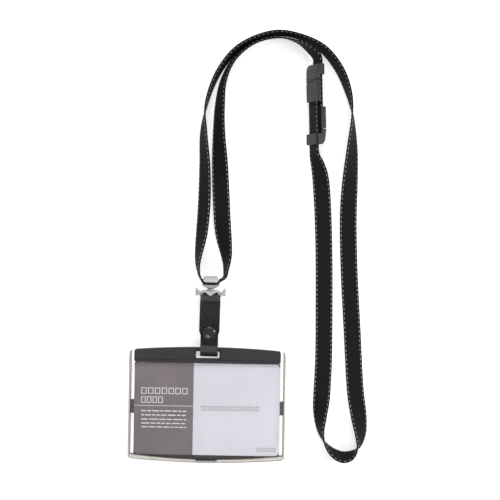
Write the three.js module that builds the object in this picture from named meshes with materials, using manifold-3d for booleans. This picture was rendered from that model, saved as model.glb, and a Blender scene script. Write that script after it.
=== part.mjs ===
// A lanyard badge holder: a clear hard card case on a snap strap and a swivel, hung from one loop of
// 10 mm webbing that two safety connectors close. Millimetres, +Z up. The holder lies on its back:
// the origin is the middle of the case's back face, and +Y runs from the case up to the loop.
import * as THREE from "three";
import { mergeVertices } from "three/addons/utils/BufferGeometryUtils.js";
import Module from "manifold-3d";

const wasm = await Module();
wasm.setup();

// Case
const caseHalfWidth = 46.0;
const caseTop = 33.95;
const caseBottom = -33.9;
const edgeRadius = 520;
const caseCorner = 2.6;
const sleeveHeight = 4.7;
const lipThickness = 0.9;
const windowUnderside = 3.5;
const channelHalfWidth = 45.3;
const lipInner = 39.5;
const lipEnd = -29.5;
const ribInner = 43.2;
const ribOuter = 43.9;
const beyond = 60;
const barHalfWidth = 43.0;
const barBottom = 24.8;
const barHeight = 5.2;
const plateHalfWidth = 42.9;
const plateBottom = -32.1;
const plateEdgeRadius = 384;
const plateCorner = 0.8;
const tongueBottom = 1.2;
const tongueTop = 2.1;
const catchReach = 45;
const catchBottom = -5.5;
const catchTop = 2.6;
const endCatchHalfWidth = 6;
const grooveBottom = 26.2;
const grooveTop = 26.65;
const grooveFloor = 4.7;
const cardWidth = 85.6;
const cardHeight = 54;
const cardThickness = 0.76;
const cardCentreY = -2.5;
const cardBase = 2.4;
const fit = 0.3;

// Slot and web that the snap strap loops round
const slotHalfWidth = 6.95;
const slotBottom = 27.5;
const slotTop = 31.4;
const webCentreY = 32.68;
const webHeight = 2.65;
const webHalfThickness = 0.8;
const recessHalfWidth = 8;
const recessBottom = 26.9;

// Snap strap, in the hanger's own frame: Y runs up the strap from the web, Z out of its front face
const hangerX = 0.7;
const hangerPitch = THREE.MathUtils.degToRad(7.2);
const hangerYaw = THREE.MathUtils.degToRad(-0.8);
const swivelDistance = 34.19;
const foldDistance = 32.3;
const strapThickness = 0.9;
const strapHalfWidth = 5.15;
const foldHalfWidth = 5.8;
const flapHalfWidth = 5.95;
const webLegOffset = 1.95;
const loopDrop = 1.8;
const foldRadius = 1.75;
const frontEndY = 15.5;
const flapTopY = 30.2;
const hingeGap = 0.6;
const flapEndY = 6.3;
const flapLevel = 4.65;
const snapY = 10.78;

// Swivel
const ringTurn = THREE.MathUtils.degToRad(88);
const ringHalfLength = 6.2;
const ringTop = 8.65;
const windowHalfLength = 5.4;
const windowBottom = 4.75;
const windowTop = 6.45;
const baseHalfWidth = 4.95;
const ringBarHalfWidth = 4.3;
const shaftRadius = 1.0;
const shaftLength = 12.8;
const wingHalfThickness = 1.15;

// Webbing and its connectors
const webbingWidth = 10;
const webbingThickness = 1.0;
const closureCentre = new THREE.Vector3(60.8, 177.25, 7.15);
const closureTilt = THREE.MathUtils.degToRad(61);
const closureYaw = THREE.MathUtils.degToRad(2.2);
const layerOffset = 1.6;
const connectorHalfWidth = 6.1;
const connectorFront = 3.1;
const seamLevel = 13.35;
const seamSlope = 0.178;
const clampEnd = 1.5;
const connectorChamfer = 1.0;

const colours = {
  clear: { color: 0xe8e8ea, roughness: 0.08, metalness: 0, transparent: true, opacity: 0.45 },
  charcoal: { color: 0x3c393c, roughness: 0.5, metalness: 0 },
  card: { color: 0xdedde4, roughness: 0.55, metalness: 0 },
  softBlack: { color: 0x2c2a2d, roughness: 0.55, metalness: 0 },
  glossBlack: { color: 0x18171a, roughness: 0.15, metalness: 0 },
  steel: { color: 0x9a9a9c, roughness: 0.35, metalness: 1 },
  frosted: { color: 0xc3c4c7, roughness: 0.35, metalness: 0 },
  connector: { color: 0x3f3c40, roughness: 0.35, metalness: 0 },
  webbing: { color: 0x262427, roughness: 0.85, metalness: 0 },
};

// Solids: a three.js geometry becomes a closed solid that can be joined and cut
function solid(geometry) {
  const bare = geometry.clone();
  bare.deleteAttribute("normal");
  bare.deleteAttribute("uv");
  const merged = mergeVertices(bare, 1e-4);
  const vertProperties = merged.attributes.position.array;
  const triVerts = new Uint32Array(merged.index.array);
  return new wasm.Manifold(new wasm.Mesh({ numProp: 3, vertProperties, triVerts }));
}

function geometryOf(body) {
  const mesh = body.getMesh();
  const geometry = new THREE.BufferGeometry();
  geometry.setAttribute("position", new THREE.BufferAttribute(mesh.vertProperties, 3));
  geometry.setIndex(new THREE.BufferAttribute(mesh.triVerts, 1));
  return geometry;
}

function cut(body, ...tools) {
  return tools.reduce((rest, tool) => rest.subtract(tool), body);
}

function join(...bodies) {
  return bodies.reduce((all, body) => all.add(body));
}

// A block between two corners
function block(x0, x1, y0, y1, z0, z1) {
  const geometry = new THREE.BoxGeometry(x1 - x0, y1 - y0, z1 - z0);
  geometry.translate((x0 + x1) / 2, (y0 + y1) / 2, (z0 + z1) / 2);
  return solid(geometry);
}

// An outline in XY raised from z0 to z1
function slab(shape, z0, z1, curveSegments = 6) {
  const geometry = new THREE.ExtrudeGeometry(shape, { depth: z1 - z0, bevelEnabled: false, curveSegments });
  geometry.translate(0, 0, z0);
  return solid(geometry);
}

// An outline given as [y, z] pairs, drawn out along X to both sides of the middle
function prismAlongX(outline, halfWidth) {
  const shape = new THREE.Shape(outline.map(([y, z]) => new THREE.Vector2(y, z)));
  const geometry = new THREE.ExtrudeGeometry(shape, { depth: 2 * halfWidth, bevelEnabled: false });
  geometry.translate(0, 0, -halfWidth);
  const toX = new THREE.Matrix4().set(0, 0, 1, 0, 1, 0, 0, 0, 0, 1, 0, 0, 0, 0, 0, 1);
  return solid(geometry.applyMatrix4(toX));
}

function polygon(points) {
  return new THREE.Shape(points.map(([x, y]) => new THREE.Vector2(x, y)));
}

// An outline that is the same on both sides of Y, from its right side's points in order up Y
function mirrored(right) {
  return polygon([...right, ...right.map(([x, y]) => [-x, y]).reverse()]);
}

// A turned piece about Z from [radius, z] pairs, moved along Y
function turned(profile, y = 0, segments = 28) {
  const geometry = new THREE.LatheGeometry(
    profile.map(([radius, z]) => new THREE.Vector2(radius, z)),
    segments,
  );
  geometry.rotateX(Math.PI / 2);
  geometry.translate(0, y, 0);
  return solid(geometry);
}

function addPart(group, name, body, look) {
  const material = new THREE.MeshStandardMaterial(colours[look]);
  const mesh = new THREE.Mesh(body.isBufferGeometry ? body : geometryOf(body), material);
  mesh.name = name;
  group.add(mesh);
  return mesh;
}

// The case's long edges are shallow arcs, and a flat edge has an endless radius
const flat = Infinity;

function arcDrop(x, radius) {
  return (x * x) / (2 * radius);
}

// An outline whose top and bottom edges bow outwards, with rounded corners
function bowedOutline(halfWidth, bottom, bottomRadius, top, topRadius, corner) {
  const lowSteps = Number.isFinite(bottomRadius) ? 14 : 1;
  const highSteps = Number.isFinite(topRadius) ? 14 : 1;
  const low = (x) => bottom + arcDrop(x, bottomRadius);
  const high = (x) => top - arcDrop(x, topRadius);
  const inner = halfWidth - corner;
  const shape = new THREE.Shape();
  shape.moveTo(-inner, low(inner));
  for (let i = 1; i <= lowSteps; i++) {
    const x = -inner + (2 * inner * i) / lowSteps;
    shape.lineTo(x, low(x));
  }
  shape.quadraticCurveTo(halfWidth, low(halfWidth), halfWidth, low(halfWidth) + corner);
  shape.lineTo(halfWidth, high(halfWidth) - corner);
  shape.quadraticCurveTo(halfWidth, high(halfWidth), inner, high(inner));
  for (let i = 1; i <= highSteps; i++) {
    const x = inner - (2 * inner * i) / highSteps;
    shape.lineTo(x, high(x));
  }
  shape.quadraticCurveTo(-halfWidth, high(halfWidth), -halfWidth, high(halfWidth) - corner);
  shape.lineTo(-halfWidth, low(halfWidth) + corner);
  shape.quadraticCurveTo(-halfWidth, low(halfWidth), -inner, low(inner));
  return shape;
}

// Clear sleeve: a front window with C-shaped side rims, open at the top and over most of the back
function sleeve() {
  const outer = bowedOutline(caseHalfWidth, caseBottom, edgeRadius, caseTop, edgeRadius, caseCorner);
  const cavity = bowedOutline(
    channelHalfWidth, plateBottom - fit, plateEdgeRadius, beyond, flat, plateCorner,
  );
  const barGap = barHalfWidth + fit;
  const catchGap = endCatchHalfWidth + 0.4;
  const body = cut(
    slab(outer, 0, sleeveHeight),
    slab(cavity, lipThickness, windowUnderside),
    block(-lipInner, lipInner, lipEnd, beyond, -1, 2),
    block(-barGap, barGap, barBottom - fit, beyond, -1, 6),
    block(-catchGap, catchGap, -33.1, -31, lipThickness, windowUnderside),
  );
  const ribTop = windowUnderside + 0.1;
  return join(
    body,
    block(-ribOuter, -ribInner, -28, 24, cardBase, ribTop),
    block(ribInner, ribOuter, -28, 24, cardBase, ribTop),
  );
}

// Charcoal back plate: a thick middle, a thin tongue that runs in the sleeve's rims, and three catches
function backPlate() {
  const tongueEnd = barBottom - fit;
  const tongue = bowedOutline(
    plateHalfWidth, plateBottom, plateEdgeRadius, tongueEnd, flat, plateCorner,
  );
  const middle = lipInner - fit;
  return join(
    slab(tongue, tongueBottom, tongueTop),
    block(-middle, middle, lipEnd + fit, tongueEnd, 0, tongueTop),
    block(-36, 36, 24, 26.2, tongueBottom, tongueTop),
    block(-catchReach, -42.5, catchBottom, catchTop, tongueBottom, tongueTop),
    block(42.5, catchReach, catchBottom, catchTop, tongueBottom, tongueTop),
    block(-endCatchHalfWidth, endCatchHalfWidth, -32.7, -30.6, tongueBottom, 3.1),
  );
}

function roundedBox(halfWidth, bottom, top, radius) {
  return bowedOutline(halfWidth, bottom, flat, top, flat, radius);
}

// Charcoal top bar: slot and web for the strap, in a recess on both faces, over the plate's tongue
function topBar() {
  const outline = bowedOutline(barHalfWidth, barBottom, flat, caseTop, edgeRadius, 1.4);
  const webTop = webHeight + webHalfThickness;
  const webBottom = webHeight - webHalfThickness;
  const webEdges = [slotTop, caseTop].flatMap((y) =>
    [webBottom, webTop].map((z) => {
      const edge = new THREE.BoxGeometry(2 * slotHalfWidth, 0.65, 0.65);
      edge.rotateX(Math.PI / 4);
      edge.translate(0, y, z);
      return solid(edge);
    }),
  );
  return cut(
    slab(outline, 0, barHeight),
    block(-recessHalfWidth, recessHalfWidth, recessBottom, beyond, webTop, 6),
    block(-recessHalfWidth, recessHalfWidth, recessBottom, beyond, -1, webBottom),
    slab(roundedBox(slotHalfWidth, slotBottom, slotTop, 0.9), -1, 7),
    block(-beyond, beyond, grooveBottom, grooveTop, grooveFloor, 6),
    block(-36.3, 36.3, 24, 26.5, tongueBottom - fit, tongueTop + fit),
    ...webEdges,
  );
}

function insertCard() {
  const low = cardCentreY - cardHeight / 2;
  const outline = roundedBox(cardWidth / 2, low, low + cardHeight, 3.18);
  return slab(outline, cardBase, cardBase + cardThickness);
}

// A strip of even thickness along a centre line of [y, z] points
function stripOutline(line, thickness) {
  const half = thickness / 2;
  const sides = line.map(([y, z], i) => {
    const before = line[Math.max(i - 1, 0)];
    const after = line[Math.min(i + 1, line.length - 1)];
    const along = new THREE.Vector2(after[0] - before[0], after[1] - before[1]).normalize();
    return [
      [y - along.y * half, z + along.x * half],
      [y + along.y * half, z - along.x * half],
    ];
  });
  return [...sides.map((side) => side[1]), ...sides.map((side) => side[0]).reverse()];
}

function arcPoints(centreY, radius, from, to, steps) {
  return Array.from({ length: steps + 1 }, (_, i) => {
    const angle = from + ((to - from) * i) / steps;
    return [centreY + radius * Math.cos(angle), radius * Math.sin(angle)];
  });
}

// Snap strap: from its end in front, round the web, up the back and over the swivel's shaft
function snapStrap() {
  const line = [
    [frontEndY, webLegOffset],
    [8, webLegOffset],
    [4.6, 1.4],
    [0.9, 2.2],
    ...arcPoints(-loopDrop, webLegOffset, Math.PI / 2, (3 * Math.PI) / 2, 12),
    [12, -1.9],
    [24, -1.8],
    ...arcPoints(foldDistance, foldRadius, -Math.PI / 2, Math.PI / 2, 12),
    [flapTopY + hingeGap, foldRadius],
  ];
  const outline = mirrored([
    [strapHalfWidth, -6],
    [strapHalfWidth, 24],
    [foldHalfWidth, 26],
    [foldHalfWidth, foldDistance + 0.15],
    [3.9, foldDistance + 1.75],
    [3.4, foldDistance + 3],
  ]);
  const notchTip = swivelDistance - 1.5;
  const notch = mirrored([[0.01, notchTip], [3, notchTip + 1.6], [3, notchTip + 4]]);
  const rivetHole = turned([[0, 1], [1.1, 1], [1.1, 3], [0, 3]], snapY);
  const body = prismAlongX(stripOutline(line, strapThickness), foldHalfWidth + 1);
  return cut(body.intersect(slab(outline, -5, 5)), slab(notch, -5, 5), rivetHole);
}

// Snap flap: comes down over the strap's end and carries the cap and socket
function snapFlap() {
  const line = [
    [flapTopY, foldRadius],
    [28.3, 2.0],
    [25.5, 2.95],
    [22, 4.1],
    [18.5, flapLevel],
    [flapEndY, flapLevel],
  ];
  const outline = mirrored([
    [1.3, flapEndY],
    [2.9, 6.9],
    [flapHalfWidth - 0.8, 9.4],
    [flapHalfWidth, 11.6],
    [flapHalfWidth, flapTopY - 1.4],
    [foldHalfWidth, flapTopY + 1],
  ]);
  const capHole = turned([[0, 3], [1.5, 3], [1.5, 6], [0, 6]], snapY);
  const body = prismAlongX(stripOutline(line, strapThickness), flapHalfWidth + 1);
  return body.intersect(slab(outline, 0, 8)).subtract(capHole);
}

// Press snap: cap and socket on the flap, stud and rivet on the strap's end
const snapProfiles = {
  snap_rivet: [[0, 0.85], [2.6, 0.85], [2.6, 1.2], [0.8, 1.2], [0.8, 3.0], [0, 3.0]],
  snap_stud: [
    [0, 3.3], [1.1, 3.3], [1.1, 2.7], [3.0, 2.7], [3.0, 3.0], [1.3, 3.0], [1.3, 3.9], [0, 3.9],
  ],
  snap_socket: [[1.7, 3.3], [3.3, 3.3], [3.3, 3.9], [1.7, 3.9], [1.7, 3.3]],
  snap_cap: [
    [0, 4.2], [1.15, 4.2], [1.15, 5.4], [3.7, 5.4], [3.9, 5.6], [3.75, 5.95], [3.0, 6.35],
    [1.7, 6.62], [0, 6.7],
  ],
};

// Swivel yoke, in the swivel's frame: a shaft in the strap's fold between two wings, arms that follow
// the strap's shoulders, a V-shaped apron in front, and a neck with a headed post
function swivelYoke() {
  const wing = (side) =>
    slab(
      polygon([
        [side * 6.1, -2.0],
        [side * 6.5, -1.85],
        [side * 8.85, -2.45],
        [side * 8.85, 2.45],
        [side * 6.6, 0.4],
        [side * 6.1, -0.6],
      ]),
      -wingHalfThickness,
      wingHalfThickness,
    );
  const arm = (side) =>
    slab(
      polygon([
        [side * 6.3, -1.45],
        [side * 6.1, -1.45],
        [side * 4.15, 0.12],
        [side * 3.75, 0.65],
        [side * 1.5, 0.65],
        [side * 1.5, 1.05],
        [side * 4.15, 1.05],
        [side * 6.6, -0.6],
      ]),
      -0.7,
      0.7,
    );
  const shaft = new THREE.CylinderGeometry(shaftRadius, shaftRadius, shaftLength, 24);
  shaft.rotateZ(Math.PI / 2);
  shaft.translate(0, foldDistance - swivelDistance, 0);
  const apron = mirrored([[0.01, -1.92], [3.5, 0.45], [3.5, 0.8]]);
  const apronPanel = mirrored([[0.01, -0.8], [1.75, 0.4], [1.75, 1.5]]);
  const web = mirrored([[0.01, -0.75], [2.3, 0.45], [2.3, 1.05]]);
  const post = [
    [0, 0.7], [2.0, 0.7], [2.0, 1.0], [1.85, 1.15], [2.0, 1.3], [2.0, 2.0], [0.8, 2.0], [0.8, 3.15],
    [1.25, 3.15], [1.25, 3.55], [0.9, 3.85], [0, 3.85],
  ];
  return join(
    solid(shaft),
    wing(-1),
    wing(1),
    arm(-1),
    arm(1),
    block(-1.0, 1.0, -1.9, 0.8, -0.7, 0.7),
    slab(web, -0.8, 3.0),
    cut(slab(apron, 2.8, 3.6), slab(apronPanel, 3.25, 4)),
    solid(new THREE.LatheGeometry(post.map(([r, y]) => new THREE.Vector2(r, y)), 24)),
  );
}

// Swivel ring: a base that turns on the yoke's post, and the bar the webbing wraps. X runs along the
// bar. Its window is open at one end, so that the webbing can be threaded in.
function swivelRing() {
  const outline = mirrored([
    [2.05, 2.3],
    [5.2, 3.6],
    [ringHalfLength, windowBottom],
    [ringHalfLength, 7.5],
    [5.4, ringTop],
  ]);
  const side = [
    [2.3, 2.0],
    [4.05, 4.3],
    [4.6, baseHalfWidth],
    [windowBottom, baseHalfWidth],
    [windowBottom, 3.3],
    [windowTop, 3.3],
    [7.2, ringBarHalfWidth],
    [7.7, ringBarHalfWidth],
    [ringTop, 3.4],
  ];
  const profile = [...side, ...side.map(([y, z]) => [y, -z]).reverse()];
  const bore = new THREE.CylinderGeometry(1.1, 1.1, 3, 20).translate(0, 2.5, 0);
  const counterbore = new THREE.CylinderGeometry(1.55, 1.55, 2, 20).translate(0, 3.9, 0);
  return cut(
    prismAlongX(profile, ringHalfLength + 1).intersect(slab(outline, -6, 6)),
    block(-windowHalfLength, 10, windowBottom, windowTop, -6, 6),
    solid(bore),
    solid(counterbore),
  );
}

// Safety connector, in the closure's frame: X across the webbing, Y up it, Z out of the front layer.
// The ring rides on the other layer, and its tongue pulls out of the clamp on this layer's end. The
// seam between them slants.
function seamAt(x) {
  return seamLevel + seamSlope * x;
}

// A tool that takes one long edge off a connector
function edgeCut(x, z) {
  const side = connectorChamfer * Math.SQRT2;
  const edge = new THREE.BoxGeometry(side, 60, side);
  edge.rotateY(Math.PI / 4);
  edge.translate(x, 12, z);
  return solid(edge);
}

function connectorRing() {
  const side = [
    [15.4, 0.1], [17.2, 0.1], [17.2, -3.3], [23.5, -3.3], [23.5, 0.8], [21.4, 2.2], [17.6, 2.95],
    [17.0, 2.6], [16.5, connectorFront], [15.4, connectorFront],
  ];
  const shoulder = polygon([
    [-connectorHalfWidth, seamAt(-connectorHalfWidth) + fit / 2],
    [connectorHalfWidth, seamAt(connectorHalfWidth) + fit / 2],
    [connectorHalfWidth, 15.6],
    [-connectorHalfWidth, 15.6],
  ]);
  const window = block(-5.4, 5.4, 16.5, 24, -2.6, -0.6);
  const tongue = block(-3.4, 3.4, 10.2, 15, 1.15, 2.05);
  const plate = cut(prismAlongX(side, connectorHalfWidth), window, edgeCut(connectorHalfWidth, -3.3));
  const body = join(plate, slab(shoulder, 0.1, connectorFront));
  return join(cut(body, edgeCut(-connectorHalfWidth, connectorFront)), tongue);
}

function clampShell(low, high, channelLow, channelHigh) {
  const outline = polygon([
    [-connectorHalfWidth, clampEnd],
    [connectorHalfWidth, clampEnd],
    [connectorHalfWidth, seamAt(connectorHalfWidth) - fit / 2],
    [-connectorHalfWidth, seamAt(-connectorHalfWidth) - fit / 2],
  ]);
  return cut(
    slab(outline, low, high),
    block(-5.3, 5.3, 0, 16, channelLow, channelHigh),
    edgeCut(-connectorHalfWidth, connectorFront),
  );
}

function addConnector(group, name, turn) {
  const connector = new THREE.Group();
  connector.rotation.x = turn;
  group.add(connector);
  addPart(connector, `${name}_ring`, connectorRing(), "connector");
  addPart(connector, `${name}_clamp_front`, clampShell(1.75, connectorFront, 1.7, 2.4), "connector");
  addPart(connector, `${name}_clamp_back`, clampShell(0.1, 1.45, 0.8, 1.5), "connector");
}

// Webbing route: [x, y, z, turn], where turn is how far the inner edge stands up, in degrees
function webbingRoute(closure, ring) {
  const onClosure = (along, layer) => closure.localToWorld(new THREE.Vector3(0, along, layer));
  const onRing = (along, out) => ring.localToWorld(new THREE.Vector3(0, along, out));
  const at = (point, turn) => [point.x, point.y, point.z, turn];
  return [
    at(onClosure(6.2, layerOffset), 61),
    at(onClosure(-10, layerOffset), 61),
    at(onClosure(-20, layerOffset), 61),
    at(onClosure(-28.5, layerOffset), 60),
    [62.6, 142.5, 5.6, 42],
    [64.2, 136.5, 3.6, 24],
    [65.5, 126.3, 1.7, 7],
    [67.2, 98.0, 0.7, 0],
    [68.1, 57.1, 0.7, 0],
    [68.3, 26.6, 0.7, 0],
    [67.6, 7.8, 1.4, 8],
    [66.8, -5.1, 3.9, 42],
    [67.5, -15.7, 5.1, 76],
    [70.7, -22.6, 5.2, 98],
    [75.2, -27.0, 4.9, 116],
    [80.5, -29.1, 4.6, 124],
    [85.1, -28.0, 4.9, 114],
    [88.9, -24.1, 5.2, 82],
    [90.4, -16.4, 4.2, 48],
    [89.4, -4.7, 2.3, 18],
    [87.5, 8.2, 0.9, 2],
    [84.9, 44.0, 0.7, 0],
    [82.2, 85.5, 0.7, 0],
    [81.4, 113.6, 0.8, 2],
    [82.0, 133.6, 2.5, 22],
    [82.8, 153.6, 4.3, 50],
    [82.4, 173.5, 5.2, 86],
    [79.6, 186.4, 5.1, 108],
    [74.0, 199.1, 4.9, 115],
    [64.6, 210.2, 5.0, 112],
    [51.5, 216.9, 5.1, 102],
    [38.0, 219.0, 5.2, 101],
    [24.9, 215.6, 5.1, 102],
    [13.9, 208.9, 5.1, 104],
    [6.0, 199.5, 5.1, 104],
    [0.3, 188.4, 5.2, 101],
    [-3.7, 174.4, 5.2, 92],
    [-4.6, 160.3, 4.9, 66],
    [-3.6, 140.9, 4.3, 50],
    [-3.5, 120.4, 3.9, 42],
    [-4.6, 101.6, 4.4, 46],
    [-6.3, 87.3, 6.2, 66],
    [-6.3, 80.6, 7.5, 79],
    at(onRing(8.8, 6.5), 86),
    at(onRing(7.0, 5.45), 90),
    at(onRing(5.87, 4.2), 94),
    at(onRing(5.55, 2.6), 97),
    at(onRing(5.55, -2.6), 97),
    at(onRing(5.87, -4.2), 96),
    at(onRing(7.0, -5.6), 95),
    at(onRing(8.9, -8.0), 99),
    [10.2, 80.6, 5.9, 109],
    [10.2, 87.0, 5.0, 127],
    [7.7, 103.0, 2.0, 166],
    [6.4, 120.6, 1.0, 176],
    [5.3, 141.1, 2.3, 160],
    [4.4, 160.4, 4.0, 136],
    [4.6, 175.7, 4.6, 126],
    [6.6, 190.8, 5.0, 112],
    [12.7, 203.3, 5.1, 104],
    [24.2, 212.9, 5.2, 101],
    [38.0, 216.5, 5.2, 100],
    [48.9, 214.3, 5.6, 92],
    [56.2, 210.1, 6.2, 72],
    at(onClosure(27.8, -layerOffset), 62),
    at(onClosure(20, -layerOffset), 61),
    at(onClosure(8, -layerOffset), 61),
    at(onClosure(-6.2, -layerOffset), 61),
  ];
}

// Webbing: a box with one slice per step, bent along the route and turned on its edge as it goes
function webbing(route) {
  const path = new THREE.CatmullRomCurve3(
    route.map(([x, y, z]) => new THREE.Vector3(x, y, z)),
    false,
    "centripetal",
  );
  const turns = new THREE.SplineCurve(route.map((point) => new THREE.Vector2(point[3], 0)));
  const spans = route.length - 1;
  const places = [];
  for (let i = 0; i < spans; i++) {
    const length = Math.hypot(...[0, 1, 2].map((axis) => route[i + 1][axis] - route[i][axis]));
    const steps = length > 20 ? 3 : length > 6 ? 2 : 1;
    for (let j = 0; j < steps; j++) places.push((i + j / steps) / spans);
  }
  places.push(1);
  const slices = places.length - 1;
  const geometry = new THREE.BoxGeometry(slices, webbingWidth, webbingThickness, slices, 1, 1);
  const up = new THREE.Vector3(0, 0, 1);
  const corners = geometry.attributes.position;
  for (let i = 0; i < corners.count; i++) {
    const place = places[Math.round(corners.getX(i) + slices / 2)];
    const along = path.getTangent(place);
    const level = new THREE.Vector3().crossVectors(up, along).normalize();
    const rise = new THREE.Vector3().crossVectors(along, level);
    const turn = THREE.MathUtils.degToRad(turns.getPoint(place).x);
    const across = level.multiplyScalar(Math.cos(turn)).addScaledVector(rise, Math.sin(turn));
    const out = new THREE.Vector3().crossVectors(along, across);
    const corner = path.getPoint(place);
    corner.addScaledVector(across, corners.getY(i)).addScaledVector(out, corners.getZ(i));
    corners.setXYZ(i, corner.x, corner.y, corner.z);
  }
  return geometry;
}

function badgeHolder() {
  const holder = new THREE.Group();
  addPart(holder, "sleeve", sleeve(), "clear");
  addPart(holder, "back_plate", backPlate(), "charcoal");
  addPart(holder, "top_bar", topBar(), "charcoal");
  addPart(holder, "insert_card", insertCard(), "card");

  const hanger = new THREE.Group();
  hanger.position.set(hangerX, webCentreY, webHeight);
  hanger.rotation.set(hangerPitch, 0, hangerYaw, "ZYX");
  holder.add(hanger);
  addPart(hanger, "snap_strap", snapStrap(), "softBlack");
  addPart(hanger, "snap_flap", snapFlap(), "softBlack");
  for (const [name, profile] of Object.entries(snapProfiles)) {
    addPart(hanger, name, turned(profile, snapY), name === "snap_cap" ? "glossBlack" : "steel");
  }

  const swivel = new THREE.Group();
  swivel.position.y = swivelDistance;
  hanger.add(swivel);
  addPart(swivel, "swivel_yoke", swivelYoke(), "frosted");
  const ring = new THREE.Group();
  ring.rotation.y = -ringTurn;
  swivel.add(ring);
  addPart(ring, "swivel_ring", swivelRing(), "frosted");

  const closure = new THREE.Group();
  closure.position.copy(closureCentre);
  closure.rotation.set(0, -closureTilt, closureYaw, "ZYX");
  holder.add(closure);
  addConnector(closure, "upper", 0);
  addConnector(closure, "lower", Math.PI);

  holder.updateMatrixWorld(true);
  addPart(holder, "lanyard_strap", webbing(webbingRoute(closure, ring)), "webbing");
  return holder;
}

export default badgeHolder();
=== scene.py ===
# Looks for a lanyard badge holder: a clear card case on a snap strap, a swivel and a webbing neck loop.
# Metres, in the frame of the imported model.
import bmesh
import bpy
import math
import random
import numpy as np
from mathutils import Matrix, Vector


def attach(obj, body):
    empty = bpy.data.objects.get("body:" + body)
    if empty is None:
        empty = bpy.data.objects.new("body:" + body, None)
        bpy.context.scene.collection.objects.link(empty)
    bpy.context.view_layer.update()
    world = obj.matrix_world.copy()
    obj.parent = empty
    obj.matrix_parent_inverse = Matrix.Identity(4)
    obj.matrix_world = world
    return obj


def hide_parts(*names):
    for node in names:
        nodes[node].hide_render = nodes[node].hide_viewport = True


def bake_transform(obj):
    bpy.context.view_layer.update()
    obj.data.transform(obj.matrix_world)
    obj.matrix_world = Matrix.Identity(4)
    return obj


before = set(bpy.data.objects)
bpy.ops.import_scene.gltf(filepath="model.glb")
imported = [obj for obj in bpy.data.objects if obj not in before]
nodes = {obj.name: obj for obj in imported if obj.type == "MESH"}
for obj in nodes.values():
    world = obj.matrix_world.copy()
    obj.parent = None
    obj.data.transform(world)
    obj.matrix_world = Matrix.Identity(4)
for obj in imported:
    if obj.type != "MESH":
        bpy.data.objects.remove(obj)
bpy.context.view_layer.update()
mm = 0.001


# ---- camera, floor and light ----
stageLook = {
    "viewCentre": (0.0238, 0.0915),
    "viewWidth": 0.2933,      # metres across the picture at viewLevel
    "viewLevel": 0.005,
    "lens": 100,
    "sensor": 36,
    "turn": 1.0,              # degrees, about the view axis
    "worldStrength": 0.40,
    "floorColour": (0.93, 0.93, 0.93, 1),
    "floorGlow": 0.5,
    "aim": (0.03, 0.09, 0.0),
    "panels": [
        # name, place, size, power
        ("rightPanel", (0.74, 0.12, 0.46), (0.22, 0.5), 3.4),
        ("farPanel", (0.0, 0.85, 0.75), (0.8, 0.3), 4.6),
        ("nearPanel", (-0.25, -0.75, 0.8), (0.6, 0.3), 2.2),
    ],
}


def placeCamera(look):
    data = bpy.data.cameras.new("straightDown")
    data.lens = look["lens"]
    data.sensor_width = look["sensor"]
    data.clip_start = 0.01
    camera = bpy.data.objects.new("straightDown", data)
    height = look["viewLevel"] + look["viewWidth"] * look["lens"] / look["sensor"]
    camera.location = (*look["viewCentre"], height)
    camera.rotation_euler = (0, 0, math.radians(look["turn"]))
    bpy.context.scene.collection.objects.link(camera)
    bpy.context.scene.camera = camera


def addAreaLight(name, place, aim, size, power):
    data = bpy.data.lights.new(name, "AREA")
    data.shape = "RECTANGLE"
    data.size, data.size_y = size
    data.energy = power
    lamp = bpy.data.objects.new(name, data)
    lamp.location = place
    lamp.rotation_euler = (Vector(aim) - Vector(place)).to_track_quat("-Z", "Y").to_euler()
    bpy.context.scene.collection.objects.link(lamp)


def layFloor(look):
    mesh = bpy.data.meshes.new("paleFloor")
    reach = 3.0
    corners = [(-reach, -reach, 0), (reach, -reach, 0), (reach, reach, 0), (-reach, reach, 0)]
    mesh.from_pydata(corners, [], [(0, 1, 2, 3)])
    floor = bpy.data.objects.new("paleFloor", mesh)
    bpy.context.scene.collection.objects.link(floor)
    material = bpy.data.materials.new("paleFloor")
    material.use_nodes = True
    shader = material.node_tree.nodes["Principled BSDF"]
    shader.inputs["Base Color"].default_value = look["floorColour"]
    shader.inputs["Roughness"].default_value = 0.95
    shader.inputs["Specular IOR Level"].default_value = 0.0
    shader.inputs["Emission Color"].default_value = (1, 1, 1, 1)
    shader.inputs["Emission Strength"].default_value = look["floorGlow"]
    mesh.materials.append(material)


def setStage(look):
    world = bpy.data.worlds.new("softStudio")
    world.use_nodes = True
    background = world.node_tree.nodes["Background"]
    background.inputs["Color"].default_value = (1.0, 0.995, 1.0, 1)
    background.inputs["Strength"].default_value = look["worldStrength"]
    bpy.context.scene.world = world
    bpy.context.scene.view_settings.view_transform = "Standard"
    placeCamera(look)
    layFloor(look)
    for name, place, size, power in look["panels"]:
        addAreaLight(name, place, look["aim"], size, power)


setStage(stageLook)
print("stage: camera, floor and light")


# ---- materials ----
def setUp(node, values):
    for key, value in values.items():
        if key in node.inputs:
            node.inputs[key].default_value = value
        else:
            setattr(node, key, value)


def addNode(tree, kind, values=None, links=None):
    node = tree.nodes.new(kind)
    setUp(node, values or {})
    for key, source in (links or {}).items():
        tree.links.new(source, node.inputs[key])
    return node


# A math node; each input is a number or the socket it reads
def maths(tree, operation, *inputs):
    node = addNode(tree, "ShaderNodeMath", {"operation": operation})
    for socket, source in zip(node.inputs, inputs):
        if isinstance(source, (int, float)):
            socket.default_value = source
        else:
            tree.links.new(source, socket)
    return node.outputs[0]


def newMaterial(name, values):
    material = bpy.data.materials.new(name)
    material.use_nodes = True
    tree = material.node_tree
    shader = tree.nodes["Principled BSDF"]
    setUp(shader, values)
    return material, tree, shader


def objectPlace(tree):
    return tree.nodes.new("ShaderNodeTexCoord").outputs["Object"]


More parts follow.
